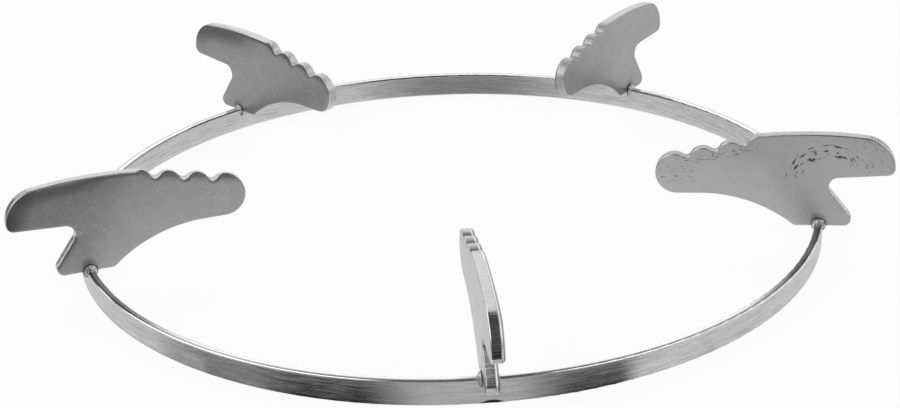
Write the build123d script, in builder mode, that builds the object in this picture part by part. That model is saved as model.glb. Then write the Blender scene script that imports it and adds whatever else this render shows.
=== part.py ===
"""Wok ring: an upright flat-bar ring that carries five scalloped support prongs.

Frame: millimetres, +Z up. The origin is on the ring's own axis, in the plane that the ring stands on.
The prong is drawn once by itself, with its zero point where it sits on the ring's top outer edge: x is
the reach outward, z the height above the ring's top. It is then set on the ring as it was welded there,
a little off its even place, tipped and skewed, and so are its weld beads.
"""

from build123d import *
from math import asin, atan, atan2, degrees, hypot, radians, sin
import os

# Ring: a flat bar rolled on edge and closed
ring_diameter = 240.0
bar_height = 8.0
bar_thickness = 2.5
bar_corner = 0.6

# Prongs, counter-clockwise from the front one. Each was set by hand: the degrees that it strays from its
# even place, that its nose is tipped down, and that its nose is swung counter-clockwise
front_azimuth = -87.0
set_by_hand = {
    "front": (1.4, 1.0, 0.9),
    "right": (3.3, -2.5, 0.0),
    "back_right": (-0.9, 2.9, 1.3),
    "back_left": (-0.2, 0.2, 4.6),
    "left": (-1.8, 0.0, 0.0),
}

# Prong plate: stamping rolls over the edges of one side, and leaves the other side crisp
plate_thickness = 4.0
rolled_edge = 1.2
crisp_edge = 0.4

# Prong outline: reaches are outward from the ring's outer face, setbacks are inward from it, and
# heights are above the ring's top
nose_reach = 22.2
nose_height = 16.2
nose_corner = 2.4
shoulder_reach = 13.5
shoulder_height = 28.7
arch_setback = 3.0
arch_height = 29.9
throat_setback = 0.6
throat_height = 15.0
throat_corner = 3.0
toe_reach = 11.0
toe_corner = 2.3
foot_depth = 1.0
heel_setback = 9.0
heel_corner = 2.0
arm_setback = 38.0
arm_height = 9.9
inner_setback = 52.2
inner_radius = 6.75

# Scalloped seat for the pan, between the rounded inner end and the arch
lobe_count = 3
lobe_depth = 2.0
valley_radius = 1.9
seat_setback = 20.1
seat_height = 29.2

# Notch that seats each prong on the ring
notch_clearance = 0.1

# Weld beads: a dome of weld metal on each side of a prong, centred a little below the ring's top
bead_radius = 2.4
bead_sink = 0.6
crisp_bead_leg = 1.6
rolled_bead_leg = 1.1

ring_radius = ring_diameter / 2
bar_middle = ring_radius - bar_thickness / 2

with BuildPart() as ring:
    with BuildSketch(Plane.XZ):
        with Locations((bar_middle, bar_height / 2)):
            RectangleRounded(bar_thickness, bar_height, bar_corner)
    revolve(axis=Axis.Z)
ring.part.label = "ring"

# The seat line runs from the rounded inner end, which it touches, to the arch. Equal lobes and valleys
# follow it, each an arc that turns the same angle either side of the line.
inner_centre = (inner_radius - inner_setback, arm_height + inner_radius)
seat_end = (-seat_setback, seat_height)
seat_run = hypot(seat_end[0] - inner_centre[0], seat_end[1] - inner_centre[1])
seat_bearing = degrees(atan2(seat_end[1] - inner_centre[1], seat_end[0] - inner_centre[0]))
seat_slope = seat_bearing - degrees(asin(inner_radius / seat_run))
lobe_pitch = (seat_run**2 - inner_radius**2) ** 0.5 / lobe_count
swing = 2 * degrees(atan(2 * lobe_depth / lobe_pitch))
lobe_radius = lobe_pitch / (2 * sin(radians(swing))) - valley_radius

# The arch is level at its crown, so its slope at the seat's end is twice that of the chord between them.
crown = (-arch_setback, arch_height)
arch_slope = 2 * degrees(atan2(crown[1] - seat_end[1], crown[0] - seat_end[0]))

shoulder = (shoulder_reach, shoulder_height)
nose = (nose_reach, nose_height)
throat = (-throat_setback, throat_height)
toe = (toe_reach, -foot_depth)
heel = (-heel_setback, -foot_depth)
arm = (-arm_setback, arm_height)
arm_end = (inner_radius - inner_setback, arm_height)

with BuildPart() as prong:
    with BuildSketch(Plane.XZ) as outline:
        with BuildLine():
            Line(arm, arm_end)
            edge = JernArc(arm_end, (-1, 0), inner_radius, seat_slope - 180)
            edge = JernArc(edge @ 1, edge % 1, lobe_radius, -swing)
            for lobe in range(lobe_count - 1):
                edge = JernArc(edge @ 1, edge % 1, valley_radius, 2 * swing)
                edge = JernArc(edge @ 1, edge % 1, lobe_radius, -2 * swing)
            edge = JernArc(edge @ 1, edge % 1, valley_radius, 2 * swing)
            edge = JernArc(edge @ 1, edge % 1, lobe_radius, arch_slope - seat_slope - swing)
            edge = TangentArc(edge @ 1, crown, tangent=edge % 1)
            edge = TangentArc(crown, shoulder, tangent=edge % 1)
            TangentArc(shoulder, nose, tangent=edge % 1)
            Polyline(nose, throat, toe, heel)
            TangentArc(arm, heel, tangent=(1, 0))
        make_face()
        for corner, radius in (
            (nose, nose_corner),
            (throat, throat_corner),
            (toe, toe_corner),
            (heel, heel_corner),
        ):
            fillet(outline.vertices().sort_by_distance(corner)[0], radius)
    extrude(amount=plate_thickness / 2, both=True)
    for side, edge_radius in ((-1, rolled_edge), (0, crisp_edge)):
        fillet(prong.faces().filter_by(Axis.Y).sort_by(Axis.Y)[side].edges(), edge_radius)

# A bead is a dome that leans on the plate's side, over the middle of the bar.
dome_setback = bar_thickness / 2
with BuildPart() as beads:
    for side, leg in ((1, rolled_bead_leg), (-1, crisp_bead_leg)):
        root = (-dome_setback, side * plate_thickness / 2)
        tip = (-dome_setback, side * (plate_thickness / 2 + leg))
        rim = (bead_radius - dome_setback, side * plate_thickness / 2)
        with BuildSketch(Plane.XY.offset(-bead_sink)):
            with BuildLine():
                Polyline(tip, root, rim)
                TangentArc(tip, rim, tangent=(1, 0))
            make_face()
        revolve(axis=Axis((-dome_setback, 0, -bead_sink), (0, 1, 0)))

# Each prong is tipped and swung about the point where it sits. Its notch is cut after that, so that the
# notch stands upright over the bar and its ceiling lies flat on the bar's top. The bar is cut out of the
# beads, which leaves each one as a crescent on either face of the bar and a saddle over its top.
notch_width = bar_thickness + 2 * notch_clearance
os.makedirs("parts", exist_ok=True)
export_step(ring.part, "parts/ring.step")
for place, (name, (stray, tip_down, swung)) in enumerate(set_by_hand.items()):
    azimuth = front_azimuth + place * 360 / len(set_by_hand) + stray
    seat = Location((ring_radius, 0, bar_height), (0, 0, swung))
    with BuildPart() as seated:
        with Locations(seat):
            add(prong.part, rotation=(0, tip_down, 0))
        with BuildSketch(Plane.XZ):
            with Locations((bar_middle, bar_height)):
                Rectangle(notch_width, bar_height, align=(Align.CENTER, Align.MAX))
        extrude(amount=plate_thickness, both=True, mode=Mode.SUBTRACT)
    with BuildPart() as weld:
        with Locations(seat):
            add(beads.part)
        add(ring.part, mode=Mode.SUBTRACT)
    for kind, shape in (("prong", seated), ("weld", weld)):
        with BuildPart() as placed:
            add(shape.part, rotation=(0, 0, azimuth))
        placed.part.label = f"{kind}_{name}"
        export_step(placed.part, f"parts/{kind}_{name}.step")
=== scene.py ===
"""Looks of the wok ring: a brushed flat-bar ring, satin scalloped prongs and their weld beads, in a
white studio.

The frame's axis is Z and the floor is z = 0. Places and sizes in the finishes are in millimetres, and
directions are in degrees from +X unless they say otherwise.
"""

import math

import bpy
import numpy as np
from mathutils import Matrix, Vector


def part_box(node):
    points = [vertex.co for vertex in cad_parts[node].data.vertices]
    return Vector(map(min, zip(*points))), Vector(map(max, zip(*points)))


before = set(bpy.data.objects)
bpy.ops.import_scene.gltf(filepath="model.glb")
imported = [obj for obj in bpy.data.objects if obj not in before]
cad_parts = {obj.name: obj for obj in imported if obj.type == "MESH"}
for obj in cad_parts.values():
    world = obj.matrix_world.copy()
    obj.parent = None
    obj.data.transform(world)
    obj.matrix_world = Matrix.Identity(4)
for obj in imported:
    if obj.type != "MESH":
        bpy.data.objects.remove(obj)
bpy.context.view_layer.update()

# Camera, worked out from the ring's circle and the prongs in the photograph. Its distance is in metres,
# its angles are in degrees and its lens is in millimetres.
CAMERA_DISTANCE = 0.68986
CAMERA_ELEVATION = 24.637
CAMERA_PITCH = -0.559
CAMERA_YAW = 0.012
CAMERA_ROLL = -2.051
CAMERA_LENS = 84.166

# Sizes that the finishes follow, in millimetres
MM = 0.001
ring_low, ring_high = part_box("ring")
RING_RADIUS = (ring_high.x - ring_low.x) / 2 / MM
BAR_HEIGHT = ring_high.z / MM
BAR_THICKNESS = 2.5
BAR_CORNER = 0.6
PLATE_HALF = 2.0
ROLLED_EDGE = 1.2
CRISP_EDGE = 0.4

# Outline of a prong in its own frame, as (reach outward from the ring's outer face, height above its
# top). The arch falls from its crown by ARCH_BEND times the square of the reach from there, and the
# nose is a circle once that fall is taken out. The seat's line touches the tops of the lobes.
ARCH_REACH = -3.0
ARCH_BEND = 0.0045
NOSE_CENTRE = (12.0, 19.5)
NOSE_RADIUS = 10.5
THROAT = (-0.6, 15.0)
TOE = (11.0, -1.0)
SEAT_END = (-20.1, 29.2)
SEAT_SLOPE = 0.222
LOBE_PITCH = 8.94
LOBE_DEPTH = 2.0

# Painted shadow on the ring's foot under the front prong: how far its middle lies past the front weld
# and how far it spreads to either side, in degrees, and how high it is, in millimetres
SHADOW_MARK_SHIFT = 0.4
SHADOW_MARK_SPREAD = 2.1
SHADOW_MARK_HEIGHT = 1.35

# How each prong looks, as satin_plate says. Its tones are set to how bright that prong shows under
# this light, so their differences from prong to prong are painted light and shade
PRONGS = {
    "front": dict(tip=1.0, lit_face_tone=0.48, lit_edge_tone=0.57, painted_line_tone=0.92, scuffed=0.3, faded=0.85),
    "right": dict(tip=-2.5, lit_face_tone=0.45, lit_edge_tone=0.46, painted_line_tone=0.60, scuffed=1.0),
    "back_right": dict(tip=2.9, lit_face_tone=0.335, lit_edge_tone=0.50, painted_line_tone=0.50, scuffed=0.15),
    "back_left": dict(tip=0.2, lit_face_tone=0.315, lit_edge_tone=0.58, painted_line_tone=0.62, rounded=0.5),
    "left": dict(tip=0.0, lit_face_tone=0.37, lit_edge_tone=0.58, painted_line_tone=0.80, rounded=2.0),
}


class Channel:
    """A number that varies over a surface. Arithmetic on it adds Math nodes to its finish."""

    def __init__(self, finish, socket):
        self.finish = finish
        self.socket = socket

    def math(self, operation, *values):
        return self.finish.node("ShaderNodeMath", {"operation": operation}, *values)

    def __add__(self, other):
        return self.math("ADD", self, other)

    def __radd__(self, other):
        return self.math("ADD", other, self)

    def __sub__(self, other):
        return self.math("SUBTRACT", self, other)

    def __rsub__(self, other):
        return self.math("SUBTRACT", other, self)

    def __mul__(self, other):
        return self.math("MULTIPLY", self, other)

    def __rmul__(self, other):
        return self.math("MULTIPLY", other, self)

    def __truediv__(self, other):
        return self.math("DIVIDE", self, other)

    def __pow__(self, other):
        return self.math("POWER", self, other)

    def __abs__(self):
        return self.math("ABSOLUTE", self)

    def ramp(self, low, high):
        """Goes smoothly from 0 at low to 1 at high; low may be the larger."""
        settings = {"interpolation_type": "SMOOTHSTEP"}
        return self.finish.node("ShaderNodeMapRange", settings, self, low, high, 0.0, 1.0)

    def band(self, start, full, fading, end):
        """Goes smoothly from 0 at start to 1 at full, and back from 1 at fading to 0 at end."""
        return self.ramp(start, full) * self.ramp(end, fading)

    def least(self, other):
        return self.math("MINIMUM", self, other)

    def most(self, other):
        return self.math("MAXIMUM", self, other)

    def sign(self):
        return self.math("SIGN", self)

    def cosine(self):
        return self.math("COSINE", self)

    def tangent(self):
        return self.math("TANGENT", self)


class Finish:
    """A material's or the world's node tree, written as expressions."""

    def __init__(self, tree):
        self.tree = tree
        tree.nodes.clear()

    def node(self, kind, settings, *values, out=0, **named):
        """Adds one node: its settings first, then its sockets by order or name. Returns one output."""
        made = self.tree.nodes.new(kind)
        for key, value in settings.items():
            setattr(made, key, value)
        by_name = [(key.replace("_", " "), value) for key, value in named.items()]
        for key, value in [*enumerate(values), *by_name]:
            if isinstance(value, Channel):
                self.tree.links.new(value.socket, made.inputs[key])
            elif value is not None:
                made.inputs[key].default_value = value
        return Channel(self, made.outputs[out]) if made.outputs else made

    def rays(self, kind):
        """1 where the light path is of the given kind, and 0 elsewhere."""
        path = self.node("ShaderNodeLightPath", {}).socket.node
        return Channel(self, path.outputs[kind])

    def xyz(self, vector):
        parts = self.node("ShaderNodeSeparateXYZ", {}, vector).socket.node
        return [Channel(self, socket) for socket in parts.outputs]

    def direction(self, x, y, z):
        """The vector of length 1 that points along (x, y, z)."""
        vector = self.node("ShaderNodeCombineXYZ", {}, x, y, z)
        return self.node("ShaderNodeVectorMath", {"operation": "NORMALIZE"}, vector)

    def place(self):
        """The point's place on the object, in millimetres."""
        coordinates = self.node("ShaderNodeTexCoord", {}, out=3)
        return [part / MM for part in self.xyz(coordinates)]

    def length(self, x, y):
        return (x**2.0 + y**2.0) ** 0.5

    def turn(self, x, y):
        """The direction of (x, y), in degrees from +X."""
        return self.node("ShaderNodeMath", {"operation": "ARCTAN2"}, y, x) * math.degrees(1.0)

    def noise(self, x, y, z, size, detail=2.0, roughness=0.5):
        """Smooth noise from 0 to 1 whose blotches are about size millimetres across."""
        vector = self.node("ShaderNodeCombineXYZ", {}, x, y, z)
        return self.node(
            "ShaderNodeTexNoise", {}, vector, Scale=1.0 / size, Detail=detail, Roughness=roughness
        )

    def hairlines(self, x, y, z, size, width):
        """Thin meandering lines, 1 on a line and 0 off it, along the middle value of a noise."""
        wander = self.noise(x, y, z, size, 3.0)
        return abs(wander - 0.5).ramp(width, 0.0)

    def bump(self, height, normal):
        """The normal of a surface raised by height millimetres over one that has the given normal."""
        return self.node(
            "ShaderNodeBump", {}, Strength=1.0, Distance=MM, Height=height, Normal=normal
        )

    def steel(self, tone, roughness, normal, brushed=0.0):
        """The surface of bare steel with the given brightness and roughness over it.

        brushed is how much less rough it is round the object's axis than across that. The rotation, a
        quarter turn, lays the grain that way.
        """
        surface = self.node(
            "ShaderNodeBsdfPrincipled",
            {},
            Base_Color=tone,
            Roughness=roughness,
            Normal=normal,
            Metallic=1.0,
            Anisotropic=brushed,
            Anisotropic_Rotation=0.25,
        )
        self.node("ShaderNodeOutputMaterial", {}, surface)


def new_finish(name):
    material = bpy.data.materials.new(name)
    material.use_nodes = True
    return material, Finish(material.node_tree)


def bar_normal(f, x, y, z):
    """Square to the bar's four faces, and turning evenly round the corners between them.

    Also returns how far the point is past the flat part of the bar's sides and of its top and foot, in
    millimetres.
    """
    radius = f.length(x, y)
    out = radius - (RING_RADIUS - BAR_THICKNESS / 2)
    up = z - BAR_HEIGHT / 2
    past_side = (abs(out) - (BAR_THICKNESS / 2 - BAR_CORNER)).most(0.0)
    past_top = (abs(up) - (BAR_HEIGHT / 2 - BAR_CORNER)).most(0.0)
    outward = past_side * out.sign() / radius
    return f.direction(x * outward, y * outward, past_top * up.sign()), past_side, past_top


def weld_turn(name):
    """The direction in which a prong's weld lies from the ring's axis, in radians."""
    low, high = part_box(f"weld_{name}")
    return math.atan2(low.y + high.y, low.x + high.x)


def brushed_bar():
    """Flat bar brushed along its length: streaks follow the circle and are fine across it.

    Its corners are smoother and carry a painted highlight, and so does its top face. At its top a
    painted dark reflection line runs beside the outer corner, and another along the inner one. Its foot
    darkens towards the floor with painted shade, and has a dark lens-shaped painted shadow under the
    front prong.
    """
    material, f = new_finish("brushed_bar")
    x, y, z = f.place()
    radius = f.length(x, y)
    inward = RING_RADIUS - radius
    across = z + radius
    square, past_side, past_top = bar_normal(f, x, y, z)
    # Painted highlights: the corners and the top face are brightened in the tone below
    corner_with_painted_highlight = past_side.least(past_top).ramp(0.02, 0.1)
    top_with_painted_light = z.ramp(BAR_HEIGHT - 0.1, BAR_HEIGHT - 0.02)
    fine = f.noise(x / 40.0, y / 40.0, across, 0.16, 2.0)
    broad = f.noise(x / 14.0, y / 14.0, across, 0.7, 2.0)
    cloud = f.noise(x, y, z, 18.0, 2.0)
    speck = f.noise(x, y, z + 9.0, 0.9, 1.0).ramp(0.74, 0.80)
    pit = f.noise(x, y, z + 27.0, 0.8, 1.0).ramp(0.80, 0.84)
    # Painted shade: the bar darkens towards the floor
    painted_foot_shade = z.ramp(1.2, 0.2) * 0.25

    # Painted shadow: a dark lens on the outside of the foot under the front prong
    shadow_mark_turn = math.degrees(weld_turn("front")) + SHADOW_MARK_SHIFT
    lens = abs(f.turn(x, y) - shadow_mark_turn) / SHADOW_MARK_SPREAD
    painted_shadow_mark = (SHADOW_MARK_HEIGHT * (1.0 - lens**2.0) - z).ramp(0.0, 0.12) * inward.ramp(1.5, 1.0)
    # Painted dark reflection lines on the top, beside its outer and its inner corner
    painted_edge_line = inward.band(0.3, 0.4, 0.9, 1.0) + inward.ramp(2.15, 2.25)
    painted_edge_line = painted_edge_line * z.ramp(BAR_HEIGHT - 0.5, BAR_HEIGHT - 0.4)

    streaks = ((fine - 0.5) * 0.5 + (broad - 0.5) * 0.45) * (1.0 - 0.7 * top_with_painted_light)
    tone = 0.62 + streaks + (cloud - 0.5) * 0.12 + speck * 0.2
    # Painted shade at the foot, and painted highlights on the corners and the top face
    tone = tone * (1.0 - painted_foot_shade) * (1.0 - 0.6 * pit) * (1.0 - corner_with_painted_highlight) + 0.85 * corner_with_painted_highlight + 0.35 * top_with_painted_light
    # Darkened by the painted shadow under the front prong and by the painted dark lines on the top
    tone = tone * (1.0 - 0.95 * painted_shadow_mark) * (1.0 - 0.6 * painted_edge_line)
    rough = (0.27 + (broad - 0.5) * 0.25 + (cloud - 0.5) * 0.1) * (1.0 - 0.6 * corner_with_painted_highlight)
    relief = (fine * 0.05 + broad * 0.07) * (1.0 - corner_with_painted_highlight) * (1.0 - top_with_painted_light)
    f.steel(tone, rough, f.bump(relief, square), brushed=0.8)
    return material


def plate_lie(name):
    """The direction that a plate points in, in radians, and how far its mid-plane lies from the axis.

    It is the direction near its weld's in which the plate is thinnest, seen from above.
    """
    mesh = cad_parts[f"prong_{name}"].data
    points = np.empty(3 * len(mesh.vertices))
    mesh.vertices.foreach_get("co", points)
    x, y = points.reshape(-1, 3).T[:2] / MM
    turns = weld_turn(name) + np.radians(np.arange(-8.0, 8.0, 0.05))
    across = np.outer(np.cos(turns), y) - np.outer(np.sin(turns), x)
    thinnest = np.ptp(across, axis=1).argmin()
    middle = (across[thinnest].max() + across[thinnest].min()) / 2
    return turns[thinnest], middle


def plate_place(f, turn, middle, tip):
    """A point's place in a plate's own frame, in millimetres.

    It is the reach outward along the plate, the height above the ring's top, and how far the point is
    from the plate's middle towards its rolled side. turn and middle are what plate_lie returns, and tip
    is how far the plate's nose is tipped down, in degrees.
    """
    x, y, z = f.place()
    outward = x * math.cos(turn) + y * math.sin(turn) - math.sqrt(RING_RADIUS**2 - middle**2)
    thick = y * math.cos(turn) - x * math.sin(turn) - middle
    above = z - BAR_HEIGHT
    lean = math.radians(tip)
    reach = outward * math.cos(lean) - above * math.sin(lean)
    height = outward * math.sin(lean) + above * math.cos(lean)
    return reach, height, thick


def under_seat(reach, height):
    """How far a point lies below the line that touches the tops of the lobes, in millimetres."""
    return SEAT_END[1] + (reach - SEAT_END[0]) * SEAT_SLOPE - height


def bank(inside, width, depth, where):
    """How far a face is drawn down inside an edge: by depth at the edge, and by nothing from width on.

    inside is how far the point lies inside the edge, and where is 1 along the stretch that has the bank.
    """
    return ((1.0 - inside / width).most(0.0) * where) ** 2.0 * depth


def crown(f, reach, height):
    """How far the face is drawn down beside the edges that stamping rolled over, in millimetres.

    Beside the arch and the nose it follows a line bent round a circle, beside the toe a straight line,
    and over each lobe of the seat it is deepest at the lobe's top. Also returns a channel that is 1 over
    the tops of the lobes and 0 between them and off the seat.
    """
    flat = height + (reach - ARCH_REACH) ** 2.0 * ARCH_BEND
    past_nose = f.length((reach - NOSE_CENTRE[0]).most(0.0), (flat - NOSE_CENTRE[1]).most(0.0))
    run = TOE[0] - THROAT[0]
    fall = THROAT[1] - TOE[1]
    slant = math.hypot(run, fall)
    toe = (THROAT[0] - reach) * (fall / slant) + (THROAT[1] - height) * (run / slant)
    crest = (((reach - SEAT_END[0]) * (2 * math.pi / LOBE_PITCH)).cosine() + 1.0) / 2.0
    lobe = under_seat(reach, height) - (1.0 - crest) * LOBE_DEPTH
    on_lobe = crest * reach.ramp(-18.0, -21.0)
    drawn = bank(NOSE_RADIUS - past_nose, 7.0, 0.9, reach.ramp(-24.0, 2.0))
    drawn = drawn + bank(toe, 3.5, 0.3, height.ramp(14.0, 11.0)) + bank(lobe, 3.0, 0.2, on_lobe)
    return drawn, on_lobe


def plate_normal(f, turn, past_cut, roll, from_crisp):
    """Square to the plate's faces and to its cut edge, and turning over the edges between them.

    past_cut is how far the point is past the cut edge towards the rolled side, where the edge looks roll
    wide and turns mostly where it leaves the cut edge. from_crisp is how far it is from the crisp side.
    The way that the cut edge faces comes from the mesh.
    """
    face_x, face_y = -math.sin(turn), math.cos(turn)
    geometry = f.node("ShaderNodeNewGeometry", {}, out=1)
    out_x, out_y, out_z = f.xyz(geometry)
    leaning = out_x * face_x + out_y * face_y
    edge = f.direction(out_x - leaning * face_x, out_y - leaning * face_y, out_z)
    edge_x, edge_y, edge_z = f.xyz(edge)
    rolled = past_cut.ramp(0.0, 0.7) * 0.94 + (past_cut / roll).most(0.0).least(1.0) * 0.06
    crisp = (1.0 - from_crisp / CRISP_EDGE).most(0.0).least(1.0)
    lean = rolled - crisp
    rise = (1.0 - lean**2.0).most(0.0) ** 0.5
    return f.direction(edge_x * rise + lean * face_x, edge_y * rise + lean * face_y, edge_z * rise)


def scuffs(f, reach, height):
    """Scuffs of a prong that was knocked about, 1 on a scuff.

    They are bold dashes that sweep round a circle between the foot and the nose, finer dashes on the
    nose and at the inner end, and thin cracks under the lobes.
    """
    side, up = reach - 1.7, height - 13.4
    radius = f.length(side, up)
    sweep = f.noise(f.turn(side, up) * 0.156, radius * 2.6, 3.0, 2.2, 2.0).ramp(0.57, 0.64)
    on_circle = radius.band(8.0, 9.5, 12.8, 13.8) * (up - side).ramp(-4.0, 1.0) * up.ramp(1.0, 3.0)

    along, across = reach - height * 0.6, height + reach * 0.6
    nose_dash = f.noise(along, across * 4.0, 7.0, 2.6, 1.0).ramp(0.66, 0.71)
    on_nose = reach.ramp(9.0, 12.0) * height.ramp(14.0, 17.0)

    inner_dash = f.noise(reach, height * 3.0, 17.0, 1.6, 2.0).ramp(0.62, 0.68)
    on_inner = reach.ramp(-38.0, -42.0) * height.band(13.0, 15.0, 21.5, 23.0)

    crack = f.hairlines(reach * 0.6, height, 11.0, 2.4, 0.05)
    under = under_seat(reach, height)
    on_seat = under.band(2.2, 3.0, 4.4, 5.4) * reach.band(-40.0, -38.0, -21.0, -19.0)

    bold = sweep * on_circle
    faint = nose_dash * on_nose * 0.5 + inner_dash * on_inner * 0.6 + crack * on_seat * 0.5
    return (bold + faint).least(1.0)


def satin_plate(name, tip, lit_face_tone, lit_edge_tone, painted_line_tone, scuffed=0.05, rounded=0.3, faded=0.0):
    """Tumbled plate: grey faces with fine grain, and paler cut edges with marks across their thickness.

    tip is how far its nose is tipped down, in degrees. The tones say how bright its faces, its cut edge
    and the painted highlight lines between them are; they are set for each prong to how bright it shows
    under this light, so they carry painted light and shade. scuffed is how strong its scuffs are,
    rounded is how much wider its rolled edge looks on the lobes, in millimetres, and faded is how far
    the painted highlight line on its crisp side fades beside the arch.
    """
    material, f = new_finish(f"satin_plate_{name}")
    turn, middle = plate_lie(name)
    reach, height, thick = plate_place(f, turn, middle, tip)
    drawn, on_lobe = crown(f, reach, height)
    on_rolled_side = thick.ramp(0.0, 0.4)
    roll = ROLLED_EDGE + on_lobe * rounded
    past_cut = thick - PLATE_HALF + roll
    from_crisp = thick + PLATE_HALF

    # Cut edge, the painted highlight lines on either side of it, painted shade over the upper nose,
    # painted highlights on the lower nose and on the toe's bottom, and its marks
    cut = past_cut.ramp(0.3, 0.0) * from_crisp.ramp(0.03, 0.25)
    # Painted highlight lines along the cut edge, on the rolled and on the crisp side
    crisp_painted_line = from_crisp.band(0.02, 0.07, 0.3, 0.4) * (1.0 - reach.ramp(15.0, 9.0) * faded)
    painted_edge_line = past_cut.band(0.0, 0.1, 0.5, 0.7) + crisp_painted_line
    # Painted shade over the upper nose, and painted highlights on the lower nose and the toe's bottom
    painted_nose_shade = reach.ramp(12.0, 19.0) * height.ramp(16.8, 17.8)
    painted_nose_highlight = reach.ramp(14.0, 17.0) * height.ramp(17.6, 16.8)
    painted_toe_highlight = reach.ramp(7.0, 9.0) * height.ramp(0.6, -0.2)
    ends = reach.ramp(12.0, 17.0).most(height.ramp(13.0, 10.0))
    striation = f.noise(reach, thick / 14.0, height, 0.42, 2.0)
    marks = (striation - 0.5) * (0.35 + ends * 0.6)
    edge = (lit_edge_tone + marks) * (1.0 - painted_nose_shade * 0.3) + (painted_nose_highlight + painted_toe_highlight) * 0.3

    # Faces, with their grain, specks, soot round the weld and scuffs
    grain = f.noise(reach, thick, height, 0.55, 3.0, 0.6)
    mottle = f.noise(reach, thick, height, 4.5, 3.0, 0.55)
    speck = f.noise(reach, thick, height + 7.0, 0.6, 1.0).ramp(0.72, 0.80)
    soot = f.length(reach + 1.2, height * 0.8).ramp(3.4, 2.0) * (0.4 + mottle)
    scuff = scuffs(f, reach, height) * scuffed
    coarse = 0.35 + on_rolled_side * 0.65
    fleck = ((grain - 0.5) * 0.55 + speck * 0.9) * coarse
    face = lit_face_tone * (1.0 + fleck + (mottle - 0.5) * 0.2)
    face = face * (1.0 - scuff * 0.85) * (1.0 - soot * 0.35)

    tone = face * (1.0 - cut) + edge * cut
    # Painted highlight lines laid over the tone
    tone = tone * (1.0 - painted_edge_line) + painted_line_tone * painted_edge_line
    rough_face = 0.34 + (grain - 0.5) * 0.15
    rough_edge = 0.22 + (striation - 0.5) * 0.2 + reach.ramp(-17.0, -20.0) * 0.2
    rough = rough_face * (1.0 - cut) + rough_edge * cut
    relief = grain * 0.012 + mottle * 0.05 - scuff * 0.05 - drawn * on_rolled_side
    relief = relief * (1.0 - cut) + striation * cut * 0.06
    square = plate_normal(f, turn, past_cut, roll, from_crisp)
    f.steel(tone, rough, f.bump(relief, square))
    return material


def weld_metal(name, tip):
    """Weld bead: small ripples, sooty patches and a dark line where it meets the plate."""
    material, f = new_finish(f"weld_metal_{name}")
    turn, middle = plate_lie(name)
    reach, height, thick = plate_place(f, turn, middle, tip)
    ripple = f.noise(reach, thick, height, 0.7, 2.0)
    soot = f.noise(reach, thick, height, 1.6, 2.0).ramp(0.45, 0.7)
    root = abs(thick).ramp(PLATE_HALF + 0.42, PLATE_HALF + 0.25)
    tone = (0.52 + (ripple - 0.5) * 0.6 - soot * 0.3) * (1.0 - root * 0.85)
    rough = 0.25 + ripple * 0.25
    f.steel(tone, rough, f.bump(ripple * 0.3, None))
    return material


def dress(node, material):
    """Gives a node of the frame its finish."""
    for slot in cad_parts[node].material_slots:
        slot.material = material


def make_camera():
    """Looks at the ring's centre from the front and above, then turned by the small aim angles."""
    elevation = math.radians(CAMERA_ELEVATION)
    spot = Vector((0, -math.cos(elevation), math.sin(elevation))) * CAMERA_DISTANCE
    look = -spot.normalized()
    right = look.cross(Vector((0, 0, 1))).normalized()
    down = look.cross(right)
    level = Matrix((right, down, look))
    roll = Matrix.Rotation(math.radians(CAMERA_ROLL), 3, "Z")
    pitch = Matrix.Rotation(math.radians(CAMERA_PITCH), 3, "X")
    yaw = Matrix.Rotation(math.radians(CAMERA_YAW), 3, "Y")
    aim = yaw @ pitch @ roll @ level
    axes = Matrix((aim[0], -aim[1], -aim[2])).transposed()
    data = bpy.data.cameras.new("camera")
    data.sensor_width = 36.0
    data.lens = CAMERA_LENS
    camera = bpy.data.objects.new("camera", data)
    camera.matrix_world = Matrix.Translation(spot) @ axes.to_4x4()
    bpy.context.collection.objects.link(camera)
    bpy.context.scene.camera = camera


def mirrored_paper(f):
    """How bright the steel mirrors each point of the paper, from 0 to 1.

    It is uneven, as in a real studio. Beside the ring's outer face it is a little darker, with a dark
    flag to either side of the front and a faint shade between them. Further out it falls away into the
    dark in front and on the left, and the noses of the left and the front prong mirror a shade each.
    Inside the ring a flag and a faint shade lie before the ring's back.
    """
    x, y, _ = f.place()
    radius = f.length(x, y)
    turn = f.turn(x, y)

    # The flags' ends fan out from the ring, so that each is mirrored as an upright bound on it
    aside = (turn + 90.0).most(-45.0).least(45.0)
    shift = (radius - RING_RADIUS) / radius * (aside * math.radians(1.22)).tangent()
    mirrored = turn - shift * math.degrees(1.0)
    left_flag = mirrored.ramp(-139.0, -129.0) * 0.40
    left_flag = left_flag + mirrored.ramp(-126.9, -126.1) * 0.26
    left_flag = left_flag + mirrored.ramp(-119.0, -111.0) * 0.31
    left_flag = left_flag * mirrored.ramp(-92.5, -103.5)
    right_flag = mirrored.band(-84.0, -73.0, -67.8, -64.0) * 0.95
    between = mirrored.band(-106.0, -97.0, -80.0, -72.0) * 0.20
    near = 0.80 * (1.0 - left_flag) * (1.0 - right_flag) * (1.0 - between)

    dark_side = y.ramp(-20.0, -110.0).most(x.ramp(-150.0, -210.0))
    falling = radius.ramp(150.0, 260.0) * dark_side * 0.72
    back_flag = turn.band(58.0, 84.0, 90.0, 110.0) * radius.ramp(119.0, 117.0) * 0.6
    back_shade = radius.band(98.0, 108.0, 112.0, 117.5) * y.ramp(10.0, 40.0) * 0.26
    far = (1.0 - falling) * (1.0 - back_flag) * (1.0 - back_shade)

    beside = radius.band(117.0, 119.0, 140.0, 150.0)
    left_shade = turn.band(-165.0, -152.0, -128.0, -118.0) * radius.ramp(145.0, 157.0) * 0.85
    front_shade = turn.band(-108.0, -100.0, -78.0, -70.0) * radius.ramp(170.0, 186.0) * 0.85
    paper = near * beside + far * (1.0 - beside)
    return paper * (1.0 - left_shade) * (1.0 - front_shade)


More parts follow.
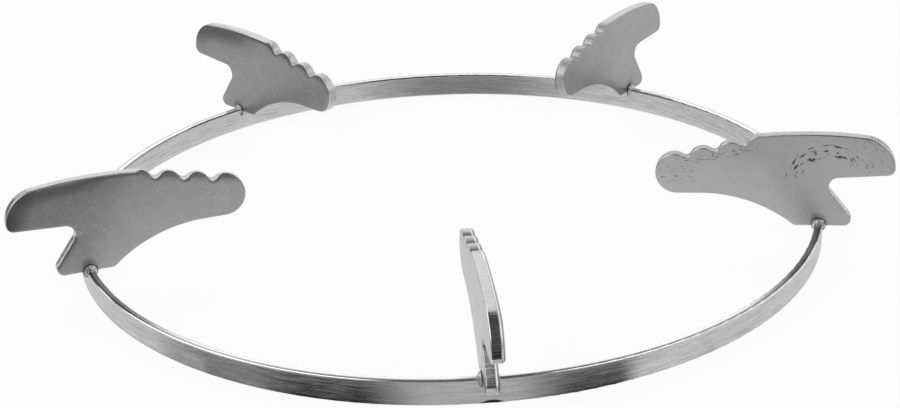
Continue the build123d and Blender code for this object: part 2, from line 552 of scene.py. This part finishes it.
def make_floor():
    """White paper that the ring stands on. It shows white, and keeps a soft shadow of the ring."""
    half = 3.0
    mesh = bpy.data.meshes.new("floor")
    corners = [(-half, -half, 0), (half, -half, 0), (half, half, 0), (-half, half, 0)]
    mesh.from_pydata(corners, [], [(0, 1, 2, 3)])
    floor = bpy.data.objects.new("floor", mesh)
    bpy.context.collection.objects.link(floor)
    material, f = new_finish("paper")
    white = f.node("ShaderNodeEmission", {}, Color=(1, 1, 1, 1), Strength=1.0)
    mirrored = f.node("ShaderNodeEmission", {}, Color=(1, 1, 1, 1), Strength=mirrored_paper(f))
    paper = f.node("ShaderNodeBsdfDiffuse", {}, Color=(0.9, 0.9, 0.9, 1))
    shown = f.node("ShaderNodeMixShader", {}, f.rays("Is Camera Ray") * 0.94, paper, white)
    surface = f.node("ShaderNodeMixShader", {}, f.rays("Is Glossy Ray"), shown, mirrored)
    f.node("ShaderNodeOutputMaterial", {}, surface)
    mesh.materials.append(material)


def make_world():
    """Pale studio. The camera's side is dark, with a softbox on either side of the camera, and so is the
    ceiling right over the ring."""
    world = bpy.data.worlds.new("studio")
    world.use_nodes = True
    bpy.context.scene.world = world
    f = Finish(world.node_tree)
    x, y, z = f.xyz(f.node("ShaderNodeTexCoord", {}, out=0))
    rise = f.turn(f.length(x, y), z)
    turn = f.turn(x, y)
    front = y.ramp(0.05, -0.35).most(x.ramp(-0.45, -0.8))
    dark = (front * rise.ramp(-4.0, 4.0)).most(rise.ramp(55.0, 63.0))
    either_side = turn.ramp(-112.0, -122.0).most(turn.ramp(-64.0, -52.0))
    softbox = rise.band(12.0, 18.0, 52.0, 60.0) * either_side * front
    light = 0.9 * (1.0 - 0.87 * dark) + 1.5 * softbox
    camera_ray = f.rays("Is Camera Ray")
    shown = light * (1.0 - camera_ray) + camera_ray
    surface = f.node("ShaderNodeBackground", {}, Color=(1, 1, 1, 1), Strength=shown)
    f.node("ShaderNodeOutputWorld", {}, surface)


def make_lamp(name, spot, size, power):
    """A soft square lamp that points at the ring's centre."""
    data = bpy.data.lights.new(name, "AREA")
    data.shape = "SQUARE"
    data.size = size
    data.energy = power
    lamp = bpy.data.objects.new(name, data)
    lamp.location = spot
    lamp.rotation_euler = (-Vector(spot)).to_track_quat("-Z", "Y").to_euler()
    bpy.context.collection.objects.link(lamp)


make_camera()
make_world()
make_floor()
make_lamp("back_softbox", spot=(0.0, 1.9, 1.3), size=2.5, power=4.0)

dress("ring", brushed_bar())
for name, looks in PRONGS.items():
    dress(f"prong_{name}", satin_plate(name, **looks))
    dress(f"weld_{name}", weld_metal(name, looks["tip"]))

bpy.context.scene.view_settings.view_transform = "Standard"
